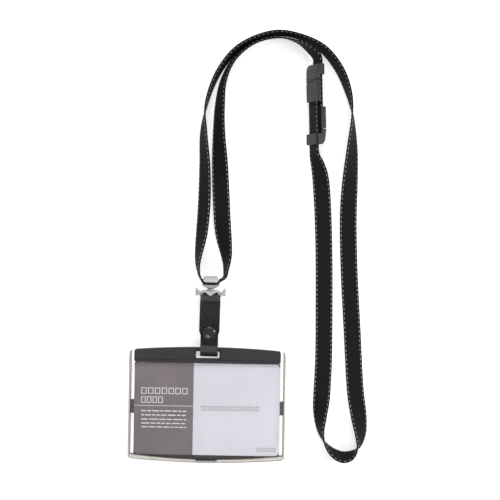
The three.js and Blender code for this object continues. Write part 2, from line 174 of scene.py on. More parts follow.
def noise(tree, place, scale, detail=3.0, roughness=0.55):
    values = {"Scale": scale, "Detail": detail, "Roughness": roughness}
    return addNode(tree, "ShaderNodeTexNoise", values, {"Vector": place}).outputs["Fac"]


def ramp(tree, source, low, high, lowColour, highColour):
    node = addNode(tree, "ShaderNodeValToRGB", {}, {"Fac": source})
    node.color_ramp.elements[0].position = low
    node.color_ramp.elements[0].color = (*lowColour, 1)
    node.color_ramp.elements[1].position = high
    node.color_ramp.elements[1].color = (*highColour, 1)
    return node.outputs["Color"]


def spread(tree, source, low, high):
    values = {"From Min": 0.3, "From Max": 0.7, "To Min": low, "To Max": high}
    return addNode(tree, "ShaderNodeMapRange", values, {"Value": source}).outputs["Result"]


def bump(tree, shader, height, distance, strength=1.0, under=None):
    links = {"Height": height}
    if under is not None:
        links["Normal"] = under
    node = addNode(tree, "ShaderNodeBump", {"Distance": distance, "Strength": strength}, links)
    tree.links.new(node.outputs["Normal"], shader.inputs["Normal"])
    return node.outputs["Normal"]


# Moulded plastic: a fine spark-eroded grain, slow colour drift and a few hairline rubs
def mouldedPlastic(name, look):
    material, tree, shader = newMaterial(name, look["shader"])
    place = objectPlace(tree)
    drift = noise(tree, place, look["driftScale"], 4.0)
    tree.links.new(ramp(tree, drift, 0.3, 0.7, look["dark"], look["light"]), shader.inputs["Base Color"])
    grain = noise(tree, place, look["grainScale"], 2.0)
    stretched = addNode(tree, "ShaderNodeMapping", {"Scale": (1.0, 0.06, 1.0)}, {"Vector": place})
    rubs = noise(tree, stretched.outputs["Vector"], look["grainScale"] * 0.8, 2.0)
    mixed = addNode(tree, "ShaderNodeMath", {"operation": "MULTIPLY"})
    tree.links.new(grain, mixed.inputs[0])
    tree.links.new(rubs, mixed.inputs[1])
    rough = spread(tree, drift, *look["roughness"])
    tree.links.new(rough, shader.inputs["Roughness"])
    bump(tree, shader, mixed.outputs[0], look["grainDepth"])
    return material


charcoalLook = {
    "dark": (0.036, 0.031, 0.036), "light": (0.048, 0.042, 0.048), "driftScale": 60,
    "grainScale": 5200, "grainDepth": 0.000035, "roughness": (0.42, 0.54),
    "shader": {"Specular IOR Level": 0.35},
}
charcoalEdgeLook = {
    **charcoalLook, "dark": (0.045, 0.041, 0.045), "light": (0.075, 0.07, 0.075),
    "roughness": (0.28, 0.4),
}
connectorLook = {
    "dark": (0.019, 0.0165, 0.0195), "light": (0.027, 0.0235, 0.0275), "driftScale": 120,
    "grainScale": 6500, "grainDepth": 0.00003, "roughness": (0.30, 0.42),
    "shader": {"Specular IOR Level": 0.25},
}
connectorEdgeLook = {
    **connectorLook, "dark": (0.028, 0.025, 0.029), "light": (0.045, 0.041, 0.046),
    "roughness": (0.22, 0.3),
}
frostedLook = {
    "dark": (0.47, 0.48, 0.50), "light": (0.56, 0.57, 0.59), "driftScale": 140,
    "grainScale": 4200, "grainDepth": 0.00003, "roughness": (0.34, 0.46),
    "shader": {"Specular IOR Level": 0.5, "Subsurface Weight": 0.25, "Subsurface Scale": 0.002},
}
frostedEdgeLook = {
    **frostedLook, "dark": (0.6, 0.61, 0.63), "light": (0.72, 0.73, 0.75), "roughness": (0.25, 0.35),
}


clearLook = {
    # tints for the window, for the side rims and bottom, and for the rounded edges there; the edge tint is
    # a painted shade for the dark lines that refraction draws along the edges
    "window": (0.95, 0.95, 0.957), "rim": (0.50, 0.485, 0.46), "edge": (0.24, 0.23, 0.215),
    "rimStart": 0.0445,       # metres to each side, where the thicker rims begin
    "rimBottom": -0.0312, "bow": 1.2,
}


# Clear plastic: glass-like, greyer over the side rims and along the bottom, with scuffs; lamps reach the
# card through it
def clearPlastic(name, look, edge=False):
    material, tree, shader = newMaterial(name, {"Transmission Weight": 1.0, "IOR": 1.49})
    place = objectPlace(tree)
    axes = addNode(tree, "ShaderNodeSeparateXYZ", {}, {"Vector": place})
    across, up = axes.outputs["X"], axes.outputs["Y"]
    outer = maths(tree, "GREATER_THAN", maths(tree, "ABSOLUTE", across), look["rimStart"])
    square = maths(tree, "MULTIPLY", across, across)
    curve = maths(tree, "MULTIPLY_ADD", square, look["bow"], look["rimBottom"])
    either = maths(tree, "MAXIMUM", outer, maths(tree, "LESS_THAN", up, curve))
    # on the rounded edges the rims take the edge tint, a painted shade of refraction lines
    rim = look["edge"] if edge else look["rim"]
    tint = ramp(tree, either, 0.2, 0.8, look["window"], rim)
    tree.links.new(tint, shader.inputs["Base Color"])
    scuffs = noise(tree, place, 900, 6.0, 0.7)
    tree.links.new(spread(tree, scuffs, 0.02, 0.1), shader.inputs["Roughness"])
    bump(tree, shader, noise(tree, place, 260, 2.0), 0.00002)
    passing = addNode(tree, "ShaderNodeBsdfTransparent", {}, {"Color": tint})
    path = tree.nodes.new("ShaderNodeLightPath")
    mix = addNode(tree, "ShaderNodeMixShader", {}, {"Fac": path.outputs["Is Shadow Ray"]})
    tree.links.new(shader.outputs["BSDF"], mix.inputs[1])
    tree.links.new(passing.outputs["BSDF"], mix.inputs[2])
    tree.links.new(mix.outputs["Shader"], tree.nodes["Material Output"].inputs["Surface"])
    return material


cardLook = {
    "split": -7.95 * mm,      # where the grey part ends
    "greyDark": (0.138, 0.117, 0.126), "greyLight": (0.180, 0.153, 0.165),
    "paleDark": (0.565, 0.56, 0.60), "paleLight": (0.61, 0.605, 0.645),
}


# Printed card: a grey part and a pale part under a satin laminate, mottled lighter in patches as a painted
# reflection of the laminate's sheen, with a faint paper tooth
def printedCard(name, look):
    material, tree, shader = newMaterial(name, {"Roughness": 0.42, "Specular IOR Level": 0.4})
    place = objectPlace(tree)
    # painted reflection: soft patches where the laminate's sheen lightens both colours
    laminateSheen = noise(tree, place, 38, 3.0)
    grey = ramp(tree, laminateSheen, 0.35, 0.68, look["greyDark"], look["greyLight"])
    pale = ramp(tree, laminateSheen, 0.35, 0.68, look["paleDark"], look["paleLight"])
    axes = addNode(tree, "ShaderNodeSeparateXYZ", {}, {"Vector": place})
    side = maths(tree, "GREATER_THAN", axes.outputs["X"], look["split"])
    blend = addNode(tree, "ShaderNodeMix", {"data_type": "RGBA"})
    tree.links.new(side, blend.inputs[0])
    tree.links.new(grey, blend.inputs[6])
    tree.links.new(pale, blend.inputs[7])
    tree.links.new(blend.outputs[2], shader.inputs["Base Color"])
    bump(tree, shader, noise(tree, place, 3800, 3.0), 0.00002)
    return material


def printInk(name, colour):
    material, tree, shader = newMaterial(name, {"Roughness": 0.45})
    place = objectPlace(tree)
    darker = tuple(value * 0.9 for value in colour)
    speckle = noise(tree, place, 3000, 2.0)
    tree.links.new(ramp(tree, speckle, 0.35, 0.6, darker, colour), shader.inputs["Base Color"])
    bump(tree, shader, speckle, 0.00001)
    return material


leatherLook = {
    "dark": (0.0070, 0.0062, 0.0074), "light": (0.0125, 0.0112, 0.0130),
    # colour of the painted highlight laid on the folds, for the lamps' sheen there
    "stretched": (0.060, 0.054, 0.060),
    # painted highlight bands across the two folds, for the lamps' sheen there: middle and half width along
    # Y, in metres
    "sheenBands": [(0.0632, 0.0014), (0.0330, 0.0015)],
    "sheenFade": 0.0007,
    # the painted highlight lies only on the front layer, above this slanted plane
    "frontSlope": -0.126, "frontLevel": -0.00097,
}


# Soft synthetic leather: pebbled cells with creases between them, with painted highlight bands across the
# folds
def softLeather(name, look):
    material, tree, shader = newMaterial(name, {"Specular IOR Level": 0.32})
    place = objectPlace(tree)
    pebbles = {"feature": "DISTANCE_TO_EDGE", "Scale": 2300}
    cells = addNode(tree, "ShaderNodeTexVoronoi", pebbles, {"Vector": place})
    distance = cells.outputs["Distance"]
    crease = addNode(tree, "ShaderNodeMapRange", {"From Max": 0.22}, {"Value": distance})
    drift = noise(tree, place, 170, 4.0)
    tint = ramp(tree, drift, 0.3, 0.7, look["dark"], look["light"])
    axes = addNode(tree, "ShaderNodeSeparateXYZ", {}, {"Vector": place})
    up, depth = axes.outputs["Y"], axes.outputs["Z"]
    raised = maths(tree, "MULTIPLY_ADD", up, look["frontSlope"], depth)
    front = maths(tree, "GREATER_THAN", raised, look["frontLevel"])
    # painted highlight: each band lightens the tint towards the sheen colour on the front layer
    for middle, half in look["sheenBands"]:
        away = maths(tree, "ABSOLUTE", maths(tree, "SUBTRACT", up, middle))
        limits = {"From Min": half, "From Max": half + look["sheenFade"], "To Min": 1.0, "To Max": 0.0}
        band = addNode(tree, "ShaderNodeMapRange", limits, {"Value": away})
        share = maths(tree, "MULTIPLY", band.outputs["Result"], front)
        sheenMix = addNode(tree, "ShaderNodeMix", {"data_type": "RGBA"})
        sheenMix.inputs[7].default_value = (*look["stretched"], 1)
        tree.links.new(share, sheenMix.inputs[0])
        tree.links.new(tint, sheenMix.inputs[6])
        tint = sheenMix.outputs[2]
    tree.links.new(tint, shader.inputs["Base Color"])
    tree.links.new(spread(tree, drift, 0.42, 0.58), shader.inputs["Roughness"])
    under = bump(tree, shader, crease.outputs["Result"], 0.00004)
    bump(tree, shader, noise(tree, place, 700, 3.0), 0.00006, under=under)
    return material


def enamel(name):
    values = {"Specular IOR Level": 0.6, "Coat Weight": 0.6, "Coat Roughness": 0.06}
    material, tree, shader = newMaterial(name, values)
    place = objectPlace(tree)
    haze = noise(tree, place, 420, 5.0, 0.7)
    tint = ramp(tree, haze, 0.3, 0.75, (0.006, 0.006, 0.007), (0.014, 0.013, 0.015))
    tree.links.new(tint, shader.inputs["Base Color"])
    tree.links.new(spread(tree, haze, 0.12, 0.26), shader.inputs["Roughness"])
    bump(tree, shader, haze, 0.00002)
    return material


def nickel(name):
    material, tree, shader = newMaterial(name, {"Metallic": 1.0})
    place = objectPlace(tree)
    marks = noise(tree, place, 1500, 5.0, 0.7)
    tint = ramp(tree, marks, 0.3, 0.7, (0.36, 0.35, 0.34), (0.56, 0.55, 0.54))
    tree.links.new(tint, shader.inputs["Base Color"])
    tree.links.new(spread(tree, marks, 0.2, 0.42), shader.inputs["Roughness"])
    bump(tree, shader, marks, 0.00002)
    return material


webbingLook = {
    "width": 10.0, "thickness": 1.0, "ribPitch": 0.9, "ribDepth": 0.07, "stepsPerRib": 3,
    "yarnPitch": 0.62,        # across the tape, millimetres, as all of these
    "dark": (0.0045, 0.0040, 0.0048), "light": (0.0175, 0.0155, 0.0180),
}


# Woven tape: ribs across it and warp yarns along it, from the tape's own map in millimetres; its colour is
# darker in the weave's valleys as painted shade, with random yarn-to-yarn variation
def wovenTape(name, look):
    values = {"Roughness": 0.8, "Specular IOR Level": 0.15, "Sheen Weight": 0.03, "Sheen Roughness": 0.45}
    material, tree, shader = newMaterial(name, values)
    spot = addNode(tree, "ShaderNodeUVMap", {"uv_map": "tape"}).outputs["UV"]
    axes = addNode(tree, "ShaderNodeSeparateXYZ", {}, {"Vector": spot})

    def wave(socket, pitch, shift=0.0):
        return maths(tree, "SINE", maths(tree, "MULTIPLY_ADD", socket, 2 * math.pi / pitch, shift))

    weft = wave(axes.outputs["X"], look["ribPitch"], math.pi / 2)
    warp = wave(axes.outputs["Y"], look["yarnPitch"])
    cross = maths(tree, "MULTIPLY", weft, warp)
    fluff = noise(tree, spot, 3.4, 4.0, 0.65)
    height = maths(tree, "MULTIPLY_ADD", cross, 0.45, fluff)
    # painted shade: the tint follows the weave's height, darker down in its valleys, and the noise adds
    # random yarn variation
    tint = ramp(tree, height, 0.15, 0.95, look["dark"], look["light"])
    tree.links.new(tint, shader.inputs["Base Color"])
    bump(tree, shader, height, 0.00009)
    return material


def stitchThread(name):
    material, tree, shader = newMaterial(name, {"Roughness": 0.7, "Sheen Weight": 0.2})
    place = objectPlace(tree)
    strands = noise(tree, place, 2600, 3.0)
    tint = ramp(tree, strands, 0.3, 0.7, (0.30, 0.28, 0.27), (0.50, 0.47, 0.45))
    tree.links.new(tint, shader.inputs["Base Color"])
    bump(tree, shader, strands, 0.00006)
    return material


materials = {
    "charcoal": mouldedPlastic("charcoalPlastic", charcoalLook),
    "charcoalEdge": mouldedPlastic("charcoalEdge", charcoalEdgeLook),
    "connector": mouldedPlastic("connectorPlastic", connectorLook),
    "connectorEdge": mouldedPlastic("connectorEdge", connectorEdgeLook),
    "frosted": mouldedPlastic("frostedPlastic", frostedLook),
    "frostedEdge": mouldedPlastic("frostedEdge", frostedEdgeLook),
    "clear": clearPlastic("clearPlastic", clearLook),
    "clearEdge": clearPlastic("clearEdge", clearLook, edge=True),
    "card": printedCard("printedCard", cardLook),
    "paleInk": printInk("paleInk", (0.72, 0.69, 0.70)),
    "greyInk": printInk("greyInk", (0.30, 0.29, 0.31)),
    "leather": softLeather("softLeather", leatherLook),
    "enamel": enamel("blackEnamel"),
    "nickel": nickel("nickelPlate"),
    "tape": wovenTape("wovenTape", webbingLook),
    "thread": stitchThread("stitchThread"),
}
print("materials:", len(materials))


# ---- shared making steps ----
def newPiece(name, mesh, *looks):
    piece = bpy.data.objects.new(name, mesh)
    bpy.context.scene.collection.objects.link(piece)
    for look in looks:
        mesh.materials.append(materials[look])
    return piece


def applied(piece):
    depsgraph = bpy.context.evaluated_depsgraph_get()
    mesh = bpy.data.meshes.new_from_object(piece.evaluated_get(depsgraph))
    piece.modifiers.clear()
    piece.data = mesh
    return piece


def smooth(piece, angle=38):
    piece.data.shade_smooth()
    piece.data.set_sharp_from_angle(angle=math.radians(angle))
    return piece


def settle(piece, body, slot, *replaced):
    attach(piece, body)
    if replaced:
        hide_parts(*replaced)
    return piece


# A CAD piece with its facets merged and its edges rounded over
def softenedCopy(node, name, looks, edge, segments=3, angle=32):
    mesh = bpy.data.meshes.new(name)
    work = bmesh.new()
    work.from_mesh(nodes[node].data)
    bmesh.ops.remove_doubles(work, verts=work.verts, dist=2e-5)
    bmesh.ops.dissolve_degenerate(work, dist=2e-5, edges=work.edges)
    bmesh.ops.dissolve_limit(work, angle_limit=math.radians(0.6), verts=work.verts, edges=work.edges)
    bmesh.ops.triangulate(work, faces=work.faces, quad_method="BEAUTY", ngon_method="BEAUTY")
    work.to_mesh(mesh)
    work.free()
    piece = newPiece(name, mesh, *looks)
    for polygon in mesh.polygons:
        polygon.material_index = 0
    bevel = piece.modifiers.new("edges", "BEVEL")
    bevel.width = edge
    bevel.segments = segments
    bevel.limit_method = "ANGLE"
    bevel.angle_limit = math.radians(angle)
    bevel.use_clamp_overlap = False
    bevel.material = len(looks) - 1
    flatten = piece.modifiers.new("triangles", "TRIANGULATE")
    flatten.min_vertices = 5
    flatten.ngon_method = "BEAUTY"
    smooth(applied(piece), 38)
    weighted = piece.modifiers.new("normals", "WEIGHTED_NORMAL")
    weighted.keep_sharp = True
    return applied(piece)


# ---- webbing: route, tape and stitches ----
closurePlace = Matrix.Translation((0.0608, 0.17725, 0.00715))
closureTurn = Matrix.Rotation(math.radians(2.2), 4, "Z") @ Matrix.Rotation(math.radians(-61), 4, "Y")
closureFrame = closurePlace @ closureTurn
hangerTurn = Matrix.Rotation(math.radians(-0.8), 4, "Z") @ Matrix.Rotation(math.radians(7.2), 4, "X")
hangerFrame = Matrix.Translation((0.0007, 0.03268, 0.00265)) @ hangerTurn
swivelDistance = 34.19        # millimetres up the strap, from the web to the middle of the swivel
foldDistance = 32.3           # and to the shaft that the strap folds over
swivelFrame = hangerFrame @ Matrix.Translation((0, swivelDistance * mm, 0))
ringFrame = swivelFrame @ Matrix.Rotation(math.radians(-88), 4, "Y")
frontLayer = 0.0016
backLayer = -0.0016


def onClosure(along, layer, turn):
    return (*(closureFrame @ Vector((0, along, layer))), turn)


def onRing(along, out, turn):
    return (*(ringFrame @ Vector((0, along, out))), turn)


# x, y, z, and how far the inner edge stands up, in degrees
route = [
    onClosure(0.00620, frontLayer, 61),
    onClosure(-0.01000, frontLayer, 61),
    onClosure(-0.02000, frontLayer, 61),
    onClosure(-0.02850, frontLayer, 60),
    (0.0626, 0.1425, 0.0056, 42),
    (0.0642, 0.1365, 0.0036, 24),
    (0.0655, 0.1263, 0.0017, 7),
    (0.0672, 0.0980, 0.0007, 0),
    (0.0681, 0.0571, 0.0007, 0),
    (0.0683, 0.0266, 0.0007, 0),
    (0.0676, 0.0078, 0.0014, 8),
    (0.0668, -0.0051, 0.0039, 42),
    (0.0675, -0.0157, 0.0051, 76),
    (0.0707, -0.0226, 0.0052, 98),
    (0.0752, -0.0270, 0.0049, 116),
    (0.0805, -0.0291, 0.0046, 124),
    (0.0851, -0.0280, 0.0049, 114),
    (0.0889, -0.0241, 0.0052, 82),
    (0.0904, -0.0164, 0.0042, 48),
    (0.0894, -0.0047, 0.0023, 18),
    (0.0875, 0.0082, 0.0009, 2),
    (0.0849, 0.0440, 0.0007, 0),
    (0.0822, 0.0855, 0.0007, 0),
    (0.0814, 0.1136, 0.0008, 2),
    (0.0820, 0.1336, 0.0025, 22),
    (0.0828, 0.1536, 0.0043, 50),
    (0.0824, 0.1735, 0.0052, 86),
    (0.0796, 0.1864, 0.0051, 108),
    (0.0740, 0.1991, 0.0049, 115),
    (0.0646, 0.2102, 0.0050, 112),
    (0.0515, 0.2169, 0.0051, 102),
    (0.0380, 0.2190, 0.0052, 101),
    (0.0249, 0.2156, 0.0051, 102),
    (0.0139, 0.2089, 0.0051, 104),
    (0.0060, 0.1995, 0.0051, 104),
    (0.0003, 0.1884, 0.0052, 101),
    (-0.0037, 0.1744, 0.0052, 92),
    (-0.0046, 0.1603, 0.0049, 66),
    (-0.0036, 0.1409, 0.0043, 50),
    (-0.0035, 0.1204, 0.0039, 42),
    (-0.0046, 0.1016, 0.0044, 46),
    (-0.0063, 0.0873, 0.0062, 66),
    (-0.0063, 0.0806, 0.0075, 79),
    onRing(0.00880, 0.00650, 86),
    onRing(0.00700, 0.00545, 90),
    onRing(0.00587, 0.00420, 94),
    onRing(0.00555, 0.00260, 97),
    onRing(0.00555, -0.00260, 97),
    onRing(0.00587, -0.00420, 96),
    onRing(0.00700, -0.00560, 95),
    onRing(0.00890, -0.00800, 99),
    (0.0102, 0.0806, 0.0059, 109),
    (0.0102, 0.0870, 0.0050, 127),
    (0.0077, 0.1030, 0.0020, 166),
    (0.0064, 0.1206, 0.0010, 176),
    (0.0053, 0.1411, 0.0023, 160),
    (0.0044, 0.1604, 0.0040, 136),
    (0.0046, 0.1757, 0.0046, 126),
    (0.0066, 0.1908, 0.0050, 112),
    (0.0127, 0.2033, 0.0051, 104),
    (0.0242, 0.2129, 0.0052, 101),
    (0.0380, 0.2165, 0.0052, 100),
    (0.0489, 0.2143, 0.0056, 92),
    (0.0562, 0.2101, 0.0062, 72),
    onClosure(0.02780, backLayer, 62),
    onClosure(0.02000, backLayer, 61),
    onClosure(0.00800, backLayer, 61),
    onClosure(-0.0062, backLayer, 61),
]


# One span of a curve through four neighbours: its four factors, spaced by knots
def spanFactors(before, start, end, after, knots):
    first, middle, last = knots
    leave = (start - before) / first - (end - before) / (first + middle) + (end - start) / middle
    arrive = (end - start) / middle - (after - start) / (middle + last) + (after - end) / last
    leave, arrive = leave * middle, arrive * middle
    return start, leave, 3 * (end - start) - 2 * leave - arrive, 2 * (start - end) + leave + arrive


# Places, directions and turns along the route, at distances that are given in spans
def routeAt(spans):
    points = np.array([entry[:3] for entry in route])
    turns = np.array([entry[3] for entry in route], float)
    last = len(points) - 1
    index = np.clip(spans.astype(int), 0, last - 1)
    places, ways, angles = [], [], []
    for i, w in zip(index, spans - index):
        start, end = points[i], points[i + 1]
        before = points[i - 1] if i > 0 else 2 * start - end
        after = points[i + 2] if i + 2 <= last else 2 * end - start
        gaps = [np.linalg.norm(b - a) ** 0.5 for a, b in ((before, start), (start, end), (end, after))]
        a, b, c, d = spanFactors(before, start, end, after, gaps)
        places.append(a + b * w + c * w * w + d * w ** 3)
        ways.append(b + 2 * c * w + 3 * d * w * w)
        before, after = turns[max(i - 1, 0)], turns[min(i + 2, last)]
        a, b, c, d = spanFactors(before, turns[i], turns[i + 1], after, (1, 1, 1))
        angles.append(a + b * w + c * w * w + d * w ** 3)
    ways = np.array(ways)
    return np.array(places), ways / np.linalg.norm(ways, axis=1)[:, None], np.radians(angles)


# Evenly spaced stations: place, across the tape, out of its face, and distance along it
def tapeStations(step):
    rough = np.linspace(0, len(route) - 1, 60 * (len(route) - 1) + 1)
    places = routeAt(rough)[0]
    travelled = np.concatenate([[0], np.cumsum(np.linalg.norm(np.diff(places, axis=0), axis=1))])
    count = round(travelled[-1] / step)
    distances = np.linspace(0, travelled[-1], count + 1)
    places, ways, turns = routeAt(np.interp(distances, travelled, rough))
    level = np.cross([0, 0, 1], ways)
    level /= np.linalg.norm(level, axis=1)[:, None]
    rise = np.cross(ways, level)
    across = np.cos(turns)[:, None] * level + np.sin(turns)[:, None] * rise
    return places, across, np.cross(ways, across), distances


# The tape's section: flat faces and round selvedges, as (across, out) in half sizes
def tapeSection():
    capSteps = 4
    flats = (-0.9, -0.45, 0.0, 0.45, 0.9)
    round1 = [math.pi * (i + 1) / (capSteps + 1) for i in range(capSteps)]
    section = [(x, 1.0, 0.0) for x in flats]
    section += [(0.9, math.cos(a), math.sin(a)) for a in round1]
    section += [(x, -1.0, 0.0) for x in reversed(flats)]
    section += [(-0.9, -math.cos(a), -math.sin(a)) for a in round1]
    return section


def weaveTape(look):
    places, across, out, distances = tapeStations(look["ribPitch"] / look["stepsPerRib"] * mm)
    halfWidth = look["width"] / 2 * mm
    halfThick = look["thickness"] / 2 * mm
    phase = 2 * math.pi * distances / (look["ribPitch"] * mm)
    rib = halfThick - look["ribDepth"] * mm * (0.5 - 0.5 * np.cos(phase))
    section = tapeSection()
    rings = []
    widths = []
    for flat, lift, bulge in section:
        side = flat * halfWidth + bulge * 0.1 * halfWidth
        thinning = 1.0 if bulge == 0.0 else 0.92
        rings.append(places + across * side + out * (lift * thinning * rib)[:, None])
        widths.append(side / mm)
    points = np.stack(rings, axis=1)
    stations, sides = points.shape[:2]
    faces = []
    for i in range(stations - 1):
        for j in range(sides):
            k = (j + 1) % sides
            faces.append((i * sides + j, i * sides + k, (i + 1) * sides + k, (i + 1) * sides + j))
    faces.append(tuple(range(sides))[::-1])
    faces.append(tuple((stations - 1) * sides + j for j in range(sides)))
    mesh = bpy.data.meshes.new("lanyard_webbing")
    mesh.from_pydata(points.reshape(-1, 3).tolist(), [], faces)
    spots = np.empty((stations, sides, 2))
    spots[:, :, 0] = (distances / mm)[:, None]
    spots[:, :, 1] = np.array(widths)[None, :]
    corners = np.empty(len(mesh.loops), int)
    mesh.loops.foreach_get("vertex_index", corners)
    mesh.uv_layers.new(name="tape").data.foreach_set("uv", spots.reshape(-1, 2)[corners].ravel())
    tidy = bmesh.new()
    tidy.from_mesh(mesh)
    bmesh.ops.recalc_face_normals(tidy, faces=tidy.faces)
    tidy.to_mesh(mesh)
    tidy.free()
    mesh.shade_smooth()
    return newPiece("lanyard_webbing", mesh, "tape"), places[::3], float(distances[-1])


stitchLook = {
    "Pitch": 2.7 * mm, "Stitch Length": 1.55 * mm, "Edge Offset": 4.15 * mm,
    "Face Offset": 0.45 * mm, "Arch": 0.30 * mm, "Thread Radius": 0.2 * mm,
}


# Saddle stitches: one arched thread per pitch, along both edges and on both faces of the tape
def stitchTree(look):
    tree = bpy.data.node_groups.new("saddleStitch", "GeometryNodeTree")
    tree.interface.new_socket("Geometry", in_out="INPUT", socket_type="NodeSocketGeometry")
    for name, value in look.items():
        socket = tree.interface.new_socket(name, in_out="INPUT", socket_type="NodeSocketFloat")
        socket.default_value = value
    tree.interface.new_socket("Thread", in_out="INPUT", socket_type="NodeSocketMaterial")
    tree.interface.new_socket("Geometry", in_out="OUTPUT", socket_type="NodeSocketGeometry")
    given = tree.nodes.new("NodeGroupInput").outputs
    result = tree.nodes.new("NodeGroupOutput")

    def times(source, factor):
        node = addNode(tree, "ShaderNodeMath", {"operation": "MULTIPLY"})
        node.inputs[1].default_value = factor
        tree.links.new(source, node.inputs[0])
        return node.outputs[0]

    def vector(x=None, z=None):
        node = tree.nodes.new("ShaderNodeCombineXYZ")
        if x is not None:
            tree.links.new(x, node.inputs["X"])
        if z is not None:
            tree.links.new(z, node.inputs["Z"])
        return node.outputs["Vector"]

    def attribute(name):
        node = tree.nodes.new("GeometryNodeInputNamedAttribute")
        node.data_type = "FLOAT_VECTOR"
        node.inputs["Name"].default_value = name
        return node.outputs["Attribute"]

    def scaled(source, factor):
        node = addNode(tree, "ShaderNodeVectorMath", {"operation": "SCALE"})
        tree.links.new(source, node.inputs[0])
        tree.links.new(factor, node.inputs["Scale"])
        return node.outputs[0]

    halfLength = times(given["Stitch Length"], 0.5)
    sunk = times(given["Thread Radius"], -1.0)
    arch = tree.nodes.new("GeometryNodeCurveQuadraticBezier")
    arch.inputs["Resolution"].default_value = 4
    tree.links.new(vector(times(halfLength, -1.0), sunk), arch.inputs["Start"])
    tree.links.new(vector(None, given["Arch"]), arch.inputs["Middle"])
    tree.links.new(vector(halfLength, sunk), arch.inputs["End"])
    thread = tree.nodes.new("GeometryNodeCurvePrimitiveCircle")
    thread.inputs["Resolution"].default_value = 6
    tree.links.new(given["Thread Radius"], thread.inputs["Radius"])
    swept = addNode(tree, "GeometryNodeCurveToMesh", {"Fill Caps": True})
    tree.links.new(arch.outputs["Curve"], swept.inputs["Curve"])
    tree.links.new(thread.outputs["Curve"], swept.inputs["Profile Curve"])
    line = tree.nodes.new("GeometryNodeMeshToCurve")
    tree.links.new(given["Geometry"], line.inputs["Mesh"])
    spaced = tree.nodes.new("GeometryNodeResampleCurve")
    spaced.mode = "LENGTH"
    tree.links.new(line.outputs["Curve"], spaced.inputs["Curve"])
    tree.links.new(given["Pitch"], spaced.inputs["Length"])
    joined = tree.nodes.new("GeometryNodeJoinGeometry")
    for edge in (-1.0, 1.0):
        for face in (-1.0, 1.0):
            moved = tree.nodes.new("GeometryNodeSetPosition")
            aside = scaled(attribute("across"), times(given["Edge Offset"], edge))
            lifted = scaled(attribute("outward"), times(given["Face Offset"], face))
            total = addNode(tree, "ShaderNodeVectorMath", {"operation": "ADD"})
            tree.links.new(aside, total.inputs[0])
            tree.links.new(lifted, total.inputs[1])
            tree.links.new(spaced.outputs["Curve"], moved.inputs["Geometry"])
            tree.links.new(total.outputs[0], moved.inputs["Offset"])
            facing = addNode(tree, "ShaderNodeVectorMath", {"operation": "SCALE", "Scale": face})
            tree.links.new(attribute("outward"), facing.inputs[0])
            stand = addNode(tree, "FunctionNodeAlignRotationToVector", {"axis": "Z"})
            tree.links.new(facing.outputs[0], stand.inputs["Vector"])
            along = addNode(tree, "FunctionNodeAlignRotationToVector", {"axis": "X", "pivot_axis": "Z"})
            tree.links.new(stand.outputs["Rotation"], along.inputs["Rotation"])
            tree.links.new(attribute("along"), along.inputs["Vector"])
            placed = tree.nodes.new("GeometryNodeInstanceOnPoints")
            tree.links.new(moved.outputs["Geometry"], placed.inputs["Points"])
            tree.links.new(swept.outputs["Mesh"], placed.inputs["Instance"])
            tree.links.new(along.outputs["Rotation"], placed.inputs["Rotation"])
            tree.links.new(placed.outputs["Instances"], joined.inputs["Geometry"])
    real = tree.nodes.new("GeometryNodeRealizeInstances")
    tree.links.new(joined.outputs["Geometry"], real.inputs["Geometry"])
    coloured = tree.nodes.new("GeometryNodeSetMaterial")
    tree.links.new(real.outputs["Geometry"], coloured.inputs["Geometry"])
    tree.links.new(given["Thread"], coloured.inputs["Material"])
    tree.links.new(coloured.outputs["Geometry"], result.inputs["Geometry"])
    return tree


def guideLine(name, places, vectors):
    mesh = bpy.data.meshes.new(name)
    mesh.from_pydata(places.tolist(), [(i, i + 1) for i in range(len(places) - 1)], [])
    for key, values in vectors.items():
        mesh.attributes.new(key, "FLOAT_VECTOR", "POINT").data.foreach_set("vector", values.ravel())
    return newPiece(name, mesh)


def sewTape(look):
    places, across, out, distances = tapeStations(0.9 * mm)
    along = np.gradient(places, axis=0)
    along /= np.linalg.norm(along, axis=1)[:, None]
    piece = guideLine("webbing_stitching", places, {"across": across, "outward": out, "along": along})
    tree = stitchTree(look)
    modifier = piece.modifiers.new("stitches", "NODES")
    modifier.node_group = tree
    for item in tree.interface.items_tree:
        if item.in_out == "INPUT" and item.name in look:
            modifier[item.identifier] = look[item.name]
        if item.in_out == "INPUT" and item.name == "Thread":
            modifier[item.identifier] = materials["thread"]
    applied(piece)
    piece.data.shade_smooth()
    return piece


webbing, webbingPath, webbingLength = weaveTape(webbingLook)
stitching = sewTape(stitchLook)
settle(webbing, "lanyard", "webbing", "lanyard_strap")
settle(stitching, "lanyard", "webbing")
print("webbing:", round(webbingLength, 4), "m,", len(webbing.data.vertices), "points")


# ---- case ----
caseEdges = {"sleeve": 0.22 * mm, "bar": 0.1 * mm, "plate": 0.2 * mm, "card": 0.08 * mm}
sleeve = softenedCopy("sleeve", "clear_sleeve", ["clear", "clearEdge"], caseEdges["sleeve"])
bar = softenedCopy("top_bar", "case_top_bar", ["charcoal", "charcoalEdge"], caseEdges["bar"])
plate = softenedCopy("back_plate", "case_back_plate", ["charcoal", "charcoalEdge"], caseEdges["plate"])
card = softenedCopy("insert_card", "card_insert", ["card"], caseEdges["card"], 2)
settle(sleeve, "cover", "clear_plastic", "sleeve")
settle(bar, "case", "charcoal_plastic", "top_bar")
settle(plate, "case", "charcoal_plastic", "back_plate")
settle(card, "case", "printed_card", "insert_card")

